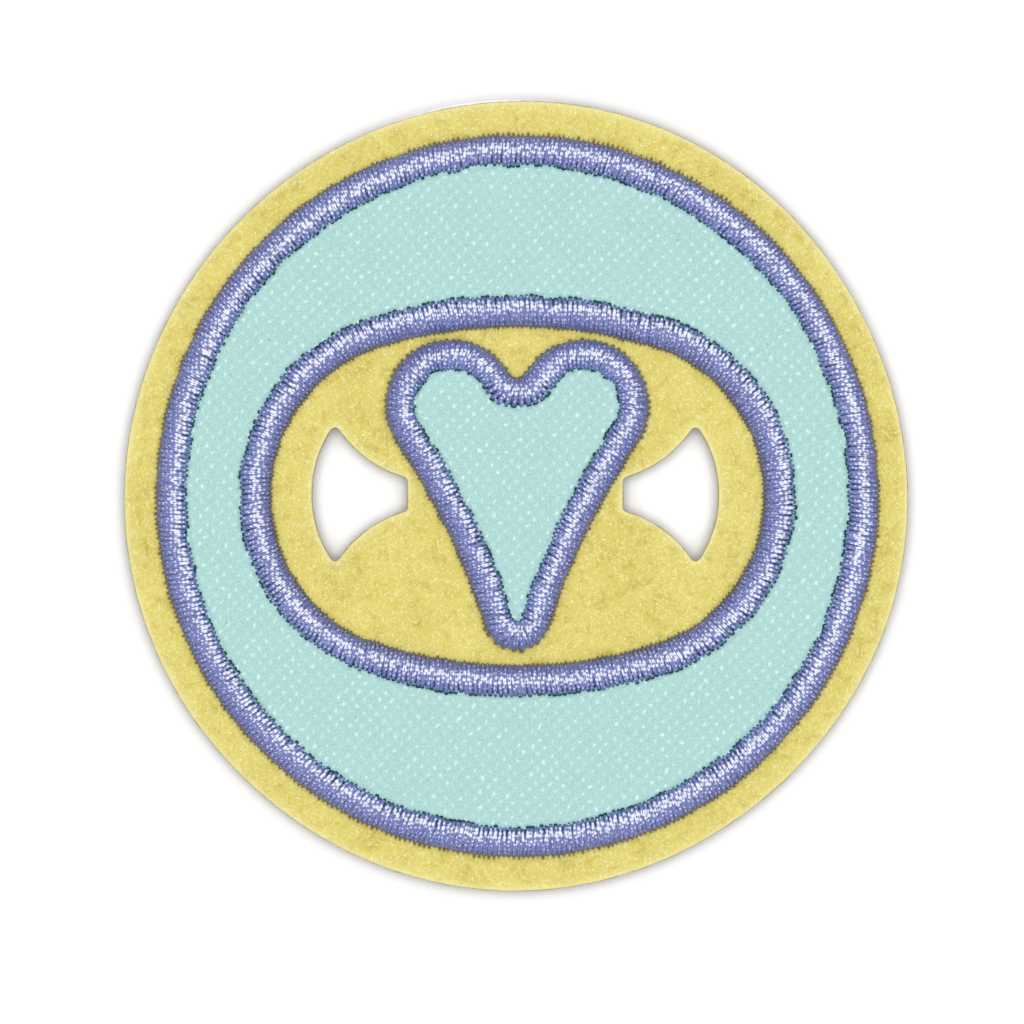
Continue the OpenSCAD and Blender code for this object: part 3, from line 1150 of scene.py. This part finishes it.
def paper_material(settings):
    """Smooth white paper with faint darker fibres, and a glow of painted light."""
    material, steps, shader = new_material("Backing paper")
    place = steps.in_mm()
    fibres = steps.group(fibre_group(), {"Vector": place, "Fineness": 1.6})
    mottle = steps.group(mottle_group(), {"Vector": place, "Scale": 0.15, "Fine": 0.4})
    shade = steps.math("ADD", fibres["Gap"], steps.math("MULTIPLY", mottle["Amount"], 0.3))
    shade = steps.math("MULTIPLY", shade, 0.4)
    steps.feed(shader, {
        "Base Color": steps.mix(shade, colour(settings.colour), colour(settings.shade_colour)),
        "Roughness": steps.spread(mottle["Amount"], -1.0, 1.0, 0.5, 0.62),
        # Painted light: the paper glows though it is no lamp
        "Emission Color": (1.0, 1.0, 1.0, 1.0),
        "Emission Strength": settings.glow,
        "Normal": steps.bump(fibres["Height"], 0.01 * MM),
    })
    return material


def floor_material(settings):
    """Plain matt floor with a trace of mottling, and a painted contact shadow close beside what
    stands on it.

    Ambient occlusion is the share of a point's surroundings that is clear within the reach.
    """
    material, steps, shader = new_material("Floor")
    mottle = steps.group(mottle_group(), {"Vector": steps.in_mm(), "Scale": 0.01, "Fine": 0.2})
    inputs = {"Distance": settings.contact_reach}
    # Painted contact shadow from ambient occlusion
    clear = steps.add("ShaderNodeAmbientOcclusion", inputs, samples=8).outputs["AO"]
    clear = steps.math("SUBTRACT", clear, steps.spread(mottle["Amount"], -1.0, 1.0, 0.0, 0.01))
    steps.feed(shader, {
        "Base Color": steps.mix(clear, colour(settings.contact_shade_colour), colour(settings.floor_colour)),
        "Roughness": 0.9,
        "Specular IOR Level": 0.1,
    })
    return material


# Pieces

def soft_step(value):
    """A smooth rise from 0 to 1 as the value does."""
    value = np.clip(value, 0, 1)
    return value * value * (3 - 2 * value)


def felt_height(scene, points):
    """Height of the felt's face: flat, pulled down beside the cords, and softly uneven."""
    settings = scene.patch_felt
    pull_reach = 0.3 * MM
    hole_depth = 0.08 * MM
    all_cords = cords(scene).values()
    beside = np.min([cord.beside(points) for cord in all_cords], axis=0)
    down = settings.pull * np.exp(-np.maximum(beside, 0) / pull_reach)
    down += hole_depth * np.max([cord.hole(points, cord.felt) for cord in all_cords], axis=0)
    broad = waves(points, wavelength=2.2 * MM, count=40, seed=21)
    narrow = waves(points, wavelength=1.0 * MM, count=40, seed=22)
    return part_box("felt_base")[1].z - down + settings.relief * (0.6 * broad + 0.5 * narrow)


def fabric_height(scene, points, names):
    """Height of the fabric's face: embossed, and pulled down at the edges of the cords named."""
    settings = scene.patch_fabric
    hole_depth = 0.2 * MM
    swell_height = 0.015 * MM
    all_cords = cords(scene)
    down = np.zeros(len(points))
    for cord in (all_cords[name] for name in names):
        beside = np.maximum(cord.beside(points), 0)
        pull = settings.pull * np.exp(-beside / settings.pull_reach)
        down = np.maximum(down, pull + hole_depth * cord.hole(points, cord.fabric))
    turn = settings.weave_turn
    across = points[:, 0] * cos(turn) - points[:, 1] * sin(turn)
    along = points[:, 0] * sin(turn) + points[:, 1] * cos(turn)
    weave = np.cos(2 * pi * across / settings.weave_x) * np.cos(2 * pi * along / settings.weave_y)
    swell = swell_height * waves(points, wavelength=6 * MM, count=30, seed=31)
    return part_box("ring_panel")[1].z - down + settings.relief * (weave - 1) / 2 + swell


def arch(scene, cord):
    """Heights that a cord's arch is drawn between: its feet in felt and in fabric, and crown."""
    felt_foot = 0.12 * MM
    fabric_foot = 0.15 * MM
    crown_share = 0.9
    felt_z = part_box("felt_base")[1].z - felt_foot
    fabric_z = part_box("ring_panel")[1].z - scene.patch_fabric.pull - fabric_foot
    crown_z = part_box(cord.solid)[1].z - crown_share * scene.patch_thread.radius
    return felt_z, fabric_z, crown_z


def strand_paths(scene, cord, turn, draw):
    """Middle lines of a cord's strands, from hole to next hole, and the outline's normals there.

    Seen from above a strand runs straight along and across the cord, but for its strays. Seen
    along the cord it is half an ellipse, skewed towards the fabric, whose feet stand in the
    felt and in the fabric and run on into them. turn holds angles round the half ellipse.
    """
    sideways = 0.03 * MM
    upwards = 0.02 * MM
    fullness = 0.8
    share = (1 - np.cos(turn)) / 2
    hole = np.tile(np.arange(cord.count), 2)
    next_hole = np.concatenate([np.arange(cord.count), np.arange(1, cord.count + 1)])
    laps, felt_hole = np.divmod(next_hole, cord.count)
    start = cord.felt.length[felt_hole] + laps * cord.outline.total
    length = start[:, None] * (1 - share) + cord.fabric.length[hole][:, None] * share
    for bends in (1, 2):
        length += np.sin(turn * bends) * draw.normal(0, sideways, (len(hole), 1))
    felt_reach = cord.felt.side * cord.felt.reach[felt_hole]
    fabric_reach = cord.fabric.side * cord.fabric.reach[hole]
    offset = felt_reach[:, None] * (1 - share) + fabric_reach[:, None] * share
    middle, normal = cord.outline.at(length)
    plan = middle + offset[..., None] * normal

    felt_z, fabric_z, crown_z = arch(scene, cord)
    skewed = share ** scene.patch_thread.skew
    foot_z = felt_z + (fabric_z - felt_z) * soft_step(skewed)
    rise = np.sign(np.sin(turn)) * (2 * np.sqrt(skewed * (1 - skewed))) ** fullness
    height = foot_z + (crown_z - foot_z) * rise
    height = height + draw.normal(0, upwards, (len(hole), 1)) * np.sin(turn)
    return np.concatenate([plan, height[..., None]], -1), normal


def strands(scene, cord):
    """Points, faces, corner UVs and values of a cord's strands, two for each needle hole.

    A strand's UVs are its length in millimetres and the turns from the crown of a ply, which
    follow the twist. Its gleam, a painted highlight, is strongest where it runs square to the
    gleam's direction, by a bell curve, and where its surface faces it.
    """
    settings = scene.patch_thread
    draw = np.random.default_rng(cord.seed + 100)
    rings, sides = 12, 5
    dive = radians(16)
    flatness = 0.65
    foot_share = 0.85
    least_gleam = 0.32
    facing_power = 0.7
    turn = np.linspace(-dive, pi + dive, rings)
    centres, normal = strand_paths(scene, cord, turn, draw)
    count = len(centres)

    tangent = np.gradient(centres, axis=1)
    along = np.stack([-normal[..., 1], normal[..., 0], np.zeros(normal.shape[:2])], -1)
    hint = np.cross(tangent, along)
    hint *= np.sign(hint[:, rings // 2, 2])[:, None, None]
    corner = np.arange(sides) * 2 * pi / sides + pi / 2
    thickness = foot_share + (1 - foot_share) * np.clip(np.sin(turn), 0, 1)
    thickness = settings.radius * thickness * draw.uniform(0.88, 1.12, (count, 1))
    aside = thickness[..., None] * np.cos(corner)
    above = thickness[..., None] * np.sin(corner) * flatness
    points, run = tubes(centres, hint, aside, above)

    twist = run / settings.twist * draw.uniform(0.6, 1.4, (count, 1))
    twist = twist + draw.uniform(0, 1, (count, 1))
    around = np.arange(sides + 1) / sides - twist[..., None]
    low, high = around[:, :-1], around[:, 1:]
    v = np.stack([low[..., :-1], low[..., 1:], high[..., 1:], high[..., :-1]], -1)
    run = run[:, :, None] / MM + draw.uniform(0, 100, (count, 1, 1))
    run = np.broadcast_to(run, (count, rings, sides))
    u = np.stack([run[:, :-1], run[:, :-1], run[:, 1:], run[:, 1:]], -1)
    faces = tube_faces(count, rings, sides)
    corner_uv = np.concatenate([np.stack([u, v], -1).reshape(-1, 2), np.zeros((faces[1].size, 2))])

    # The gleam attribute is a painted highlight, drawn for light from gleam_from
    light = unit(np.array(settings.gleam_from))
    square = np.exp(-(unit(tangent) @ light / settings.gleam_width) ** 2)
    facing = np.clip(unit(points - centres[:, :, None]) @ light, 0, 1) ** facing_power
    share = (1 - np.cos(turn)) / 2
    values = {
        "foot": np.broadcast_to(share[None, :, None], points.shape[:3]),
        "shade": np.broadcast_to(draw.uniform(0, 1, (count, 1, 1)), points.shape[:3]),
        "gleam": (least_gleam + (1 - least_gleam) * square)[..., None] * facing,
    }
    return points.reshape(-1, 3), faces, corner_uv, values


def underlay(scene, cord):
    """Points, faces, corner UVs and values of the dark padding that fills a cord under its strands.

    Its section is an ellipse from foot to foot, and it runs once round the cord's outline. Its
    UVs all name a place between a ply's crown and its groove, so that it is darkened with part
    of the painted groove shade, as painted shade between the strands.
    """
    settings = scene.patch_thread
    sides = 12
    ring_step = 0.6 * MM
    below_crown = 0.11 * MM
    felt_reach = cord.width / 2 - 0.04 * MM
    fabric_reach = cord.width / 2 - settings.inset - 0.06 * MM
    between_plies = 0.15
    rings = round(cord.outline.total / ring_step)
    corner = np.arange(sides) * 2 * pi / sides
    felt_z, fabric_z, crown_z = arch(scene, cord)
    foot_z = min(felt_z, fabric_z)
    half_width = (felt_reach + fabric_reach) / 2
    aside = cord.fabric_side * (fabric_reach - felt_reach) / 2
    length = np.repeat(np.arange(rings) * cord.outline.total / rings, sides)
    offset = np.tile(aside + np.cos(corner) * half_width, rings)
    height = np.tile(foot_z + np.sin(corner) * (crown_z - below_crown - foot_z), rings)
    height = np.maximum(height, foot_z - below_crown)
    middle, normal = cord.outline.at(length)
    points = np.column_stack([middle + offset[:, None] * normal, height])
    ring, side = np.divmod(np.arange(rings * sides), sides)
    here, ahead = ring * sides, (ring + 1) % rings * sides
    after = (side + 1) % sides
    quads = np.stack([here + side, here + after, ahead + after, ahead + side], -1)
    corner_uv = np.full((quads.size, 2), between_plies)
    values = {"foot": 0.5, "shade": 0.5, "gleam": 0.0}
    values = {key: np.full(len(points), value) for key, value in values.items()}
    return points, [quads[:, ::-1]], corner_uv, values


def joined(first, second):
    """Points, faces, corner UVs and values of two parts of one mesh."""
    points = np.concatenate([first[0], second[0]])
    faces = [*first[1], *(group + len(first[0]) for group in second[1])]
    corner_uv = np.concatenate([first[2], second[2]])
    values = {key: np.concatenate([first[3][key].ravel(), second[3][key]]) for key in first[3]}
    return points, faces, corner_uv, values


def fibres(scene):
    """Points, faces and shades of loose fibres that lie on the felt that shows.

    A fibre is an arc seen from above, and its height is the felt's plus a low hump.
    """
    settings = scene.patch_felt
    draw = np.random.default_rng(41)
    rings, sides = 5, 3
    edge_margin = 0.25 * MM
    sunk = 0.025 * MM
    tries = 8 * settings.fibre_count
    all_cords = cords(scene)
    ring, oval, heart = (all_cords[key] for key in ("ring_thread", "oval_thread", "heart_thread"))
    half, middle = half_size("felt_base")
    place = middle + draw.uniform(-1, 1, (tries, 2)) * half
    from_ring = ring.outline.nearest(place)[0] - ring.width / 2
    from_oval = -oval.outline.nearest(place)[0] - oval.width / 2
    from_heart = heart.outline.nearest(place)[0] - heart.width / 2
    shows = (from_ring > 0) | ((from_oval > 0) & (from_heart > 0))
    place = place[shows]

    step = np.linspace(-0.5, 0.5, rings)
    length = settings.fibre_length * draw.uniform(0.25, 1, (len(place), 1))
    bend = draw.normal(0, 0.4, (len(place), 1))
    heading = draw.uniform(0, 2 * pi, (len(place), 1)) + bend * step
    run = np.stack([np.cos(heading), np.sin(heading)], -1) * (length / (rings - 1))[..., None]
    path = np.cumsum(run, axis=1)
    path += place[:, None] - path[:, rings // 2, None]
    flat = path.reshape(-1, 2)
    on_felt = felt_outline().nearest(flat)[0] < -edge_margin
    for cut in cut_outs(scene.patch_outline):
        on_felt &= cut.nearest(flat)[0] > edge_margin
    path = path[on_felt.reshape(-1, rings).all(1)][: settings.fibre_count]
    count = len(path)

    ground = felt_height(scene, path.reshape(-1, 2)).reshape(count, rings)
    hump = settings.fibre_lift * draw.uniform(0.1, 1, (count, 1)) * (1 - (2 * step) ** 2)
    centres = np.concatenate([path, (ground + hump - sunk)[..., None]], -1)
    hint = np.broadcast_to([0.0, 0.0, 1.0], centres.shape)
    corner = np.arange(sides) * 2 * pi / sides + pi / 2
    thickness = settings.fibre_radius * draw.uniform(0.7, 1.3, (count, 1, 1))
    thickness = np.broadcast_to(thickness, (count, rings, 1))
    points, _ = tubes(centres, hint, thickness * np.cos(corner), thickness * np.sin(corner))
    shade = np.broadcast_to(draw.uniform(0, 1, (count, 1, 1)), (count, rings, sides))
    points = off_round(points.reshape(-1, 3))
    return points, tube_faces(count, rings, sides), {"shade": shade}


class PATCH_OT_backing_sheet(bpy.types.Operator):
    """Makes the backing sheet, which keeps in from the felt's edge but peeps out at the top"""

    bl_idname = "patch.backing_sheet"
    bl_label = "Backing sheet"

    def execute(self, context):
        scene = context.scene
        low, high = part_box("backing_sheet")
        inset = scene.patch_paper.inset
        edges = [(felt_outline().grown(-inset), 1)]
        edges += [(cut.grown(inset), -1) for cut in cut_outs(scene.patch_outline)]
        spacing = 0.5 * MM
        rows = [(0.0, spacing), (spacing, spacing)]
        points, faces = slab(
            edges, rows, step=4 * spacing,
            height=lambda place: np.full(len(place), high.z),
            wall=[(0.0, 0.5), (0.0, 1.0)], under=low.z, roughness=0.0, seed=71,
        )
        points = off_round(points, scene.patch_paper.peep)
        material = paper_material(scene.patch_paper)
        sheet = new_piece("backing_paper", points, faces, material)
        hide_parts("backing_sheet")
        sum(side * outline_area(outline) for outline, side in edges)
        return {"FINISHED"}


class PATCH_OT_felt(bpy.types.Operator):
    """Makes the felt disc with its two cut-outs, and the loose fibres on it"""

    bl_idname = "patch.felt"
    bl_label = "Felt disc and fibres"

    def execute(self, context):
        scene = context.scene
        settings = scene.patch_felt
        edges = [(felt_outline(), 1), *((cut, -1) for cut in cut_outs(scene.patch_outline))]
        rows = [
            (settings.edge_round, settings.grid_step * 0.7),
            (settings.edge_round + 0.25 * MM, settings.grid_step * 0.8),
        ]
        wall = [(0.5, 0.03), (0.85, 0.1), (1.0, 0.25), (1.0, 0.5), (0.95, 0.78), (0.8, 1.0)]
        wall = [(outwards * settings.edge_round, down) for outwards, down in wall]
        all_cords = cords(scene).values()
        seam_reaches = np.array([-0.06, 0.05, 0.14, 0.24, 0.36]) * MM
        seams = [
            (cord.outline, cord.felt.side * (cord.width / 2 + reach), cord.pitch / 4)
            for cord in all_cords
            for reach in seam_reaches
        ]
        points, faces = slab(
            edges, rows, settings.grid_step,
            height=lambda place: felt_height(scene, place),
            wall=wall, under=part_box("felt_base")[0].z, roughness=0.02 * MM, seed=51,
            seams=seams,
        )
        flat = points[:, :2]
        # hole marks the needle holes, which the felt's material darkens with painted shade
        hole = np.max([cord.hole(flat, cord.felt) for cord in all_cords], axis=0)
        inside = np.min([-side * outline.nearest(flat)[0] for outline, side in edges], axis=0)
        inside = np.maximum(inside - settings.edge_round / 4, 0)
        # rim also sets where the painted shade on the cut edge lies
        values = {"hole": hole, "rim": np.exp(-inside / settings.rim_fade)}
        material = felt_material(settings)
        disc = new_piece("felt_disc", off_round(points), faces, material, values=values)
        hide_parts("felt_base")
        points, faces, values = fibres(scene)
        loose = new_piece(
            "felt_fibres", points, faces, fibre_material(settings), values=values
        )
        cut_area = sum(outline_area(outline) for outline, side in edges if side < 0)
        return {"FINISHED"}


class PATCH_OT_fabric(bpy.types.Operator):
    """Makes the two pieces of embossed fabric, in the ring and in the heart"""

    bl_idname = "patch.fabric"
    bl_label = "Embossed fabric"

    def execute(self, context):
        scene = context.scene
        settings = scene.patch_fabric
        material = fabric_material(settings)
        all_cords = cords(scene)

        def edge(name):
            cord = all_cords[name]
            reach = cord.fabric_side * (cord.width / 2 - settings.tuck)
            return cord.outline.grown(reach), -cord.fabric_side

        pieces = {
            "ring_fabric": ("ring_panel", ["ring_thread", "oval_thread"]),
            "heart_fabric": ("motif_panel", ["heart_thread"]),
        }
        fine = all_cords["ring_thread"].pitch / 4
        rows = [
            (0.0, fine), (0.12 * MM, fine), (0.24 * MM, fine), (0.34 * MM, fine),
            (0.44 * MM, fine), (0.56 * MM, fine), (0.72 * MM, 1.4 * fine), (0.92 * MM, 1.8 * fine),
        ]
        wall = [(0.03 * MM, 0.15), (0.04 * MM, 0.6), (0.02 * MM, 1.0)]
        for seed, (name, (solid, names)) in enumerate(pieces.items(), 61):
            edges = [edge(cord_name) for cord_name in names]
            points, faces = slab(
                edges, rows, settings.grid_step,
                height=lambda place: fabric_height(scene, place, names),
                wall=wall, under=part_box(solid)[0].z, roughness=0.01 * MM, seed=seed,
            )
            sewn = [all_cords[cord_name] for cord_name in names]
            # hole marks the needle holes, which the fabric's material darkens with painted shade
            hole = np.max([cord.hole(points[:, :2], cord.fabric) for cord in sewn], axis=0)
            piece = new_piece(
                name, points, faces, material, values={"hole": hole}
            )
            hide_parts(solid)
            areas = [side * outline_area(outline) for outline, side in edges]
        return {"FINISHED"}


class PATCH_OT_thread(bpy.types.Operator):
    """Sews the three satin cords, strand by strand"""

    bl_idname = "patch.thread"
    bl_label = "Satin cords"

    def execute(self, context):
        scene = context.scene
        material = thread_material(scene.patch_thread)
        for name, cord in cords(scene).items():
            points, faces, corner_uv, values = joined(strands(scene, cord), underlay(scene, cord))
            piece = new_piece(name, points, faces, material, corner_uv, values)
            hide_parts(cord.solid)
        return {"FINISHED"}


def area_light(name, power, place):
    """The data of a new area light that hangs at a place and points at the patch."""
    data = bpy.data.lights.new(name, "AREA")
    data.energy = power
    lamp = bpy.data.objects.new(name, data)
    lamp.location = place
    lamp.rotation_euler = (-lamp.location).to_track_quat("-Z", "Y").to_euler()
    bpy.context.scene.collection.objects.link(lamp)
    return data


class PATCH_OT_stage(bpy.types.Operator):
    """Sets up the floor, the light and the camera"""

    bl_idname = "patch.stage"
    bl_label = "Stage"

    def execute(self, context):
        scene = context.scene
        settings = scene.patch_stage
        extent = 3.0
        corner = np.array([(-1, -1), (1, -1), (1, 1), (-1, 1)]) * extent
        mesh = bpy.data.meshes.new("floor")
        mesh.from_pydata([(x, y, 0.0) for x, y in corner.tolist()], [], [(0, 1, 2, 3)])
        mesh.materials.append(floor_material(settings))
        floor = bpy.data.objects.new("floor", mesh)
        scene.collection.objects.link(floor)

        world = bpy.data.worlds.new("Studio")
        world.use_nodes = True
        background = world.node_tree.nodes["Background"]
        background.inputs["Color"].default_value = (1.0, 1.0, 1.0, 1.0)
        background.inputs["Strength"].default_value = settings.fill
        scene.world = world
        scene.view_settings.view_transform = "Standard"

        top = area_light("top", settings.top_power, settings.top_place)
        top.shape = "RECTANGLE"
        top.size, top.size_y = settings.top_size
        key = area_light("key", settings.key_power, settings.key_place)
        key.size = settings.key_size

        lens = bpy.data.cameras.new("camera")
        lens.sensor_width = 36.0
        lens.lens = lens.sensor_width * settings.camera_distance / settings.frame_width
        lens.clip_start = 0.01
        camera = bpy.data.objects.new("camera", lens)
        felt_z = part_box("felt_base")[1].z
        camera.location = (*settings.frame_middle, felt_z + settings.camera_distance)
        scene.collection.objects.link(camera)
        scene.camera = camera
        return {"FINISHED"}


OPERATORS = [
    PATCH_OT_backing_sheet,
    PATCH_OT_felt,
    PATCH_OT_fabric,
    PATCH_OT_thread,
    PATCH_OT_stage,
]


class PATCH_PT_sidebar(bpy.types.Panel):
    """Lists the patch's operators and settings"""

    bl_label = "Patch"
    bl_idname = "PATCH_PT_sidebar"
    bl_space_type = "VIEW_3D"
    bl_region_type = "UI"
    bl_category = "Patch"

    def draw(self, context):
        for operator in OPERATORS:
            self.layout.operator(operator.bl_idname)
        for key, group in SETTINGS.items():
            box = self.layout.box()
            box.label(text=group.__doc__)
            for name in group.__annotations__:
                box.prop(getattr(context.scene, key), name)


CLASSES = [*SETTINGS.values(), *OPERATORS, PATCH_PT_sidebar]


def register():
    for cls in CLASSES:
        bpy.utils.register_class(cls)
    for key, group in SETTINGS.items():
        setattr(bpy.types.Scene, key, PointerProperty(type=group))


def unregister():
    for key in SETTINGS:
        delattr(bpy.types.Scene, key)
    for cls in reversed(CLASSES):
        bpy.utils.unregister_class(cls)


def main():
    register()
    bpy.ops.patch.backing_sheet()
    bpy.ops.patch.felt()
    bpy.ops.patch.fabric()
    bpy.ops.patch.thread()
    bpy.ops.patch.stage()


if __name__ == "__main__":
    main()
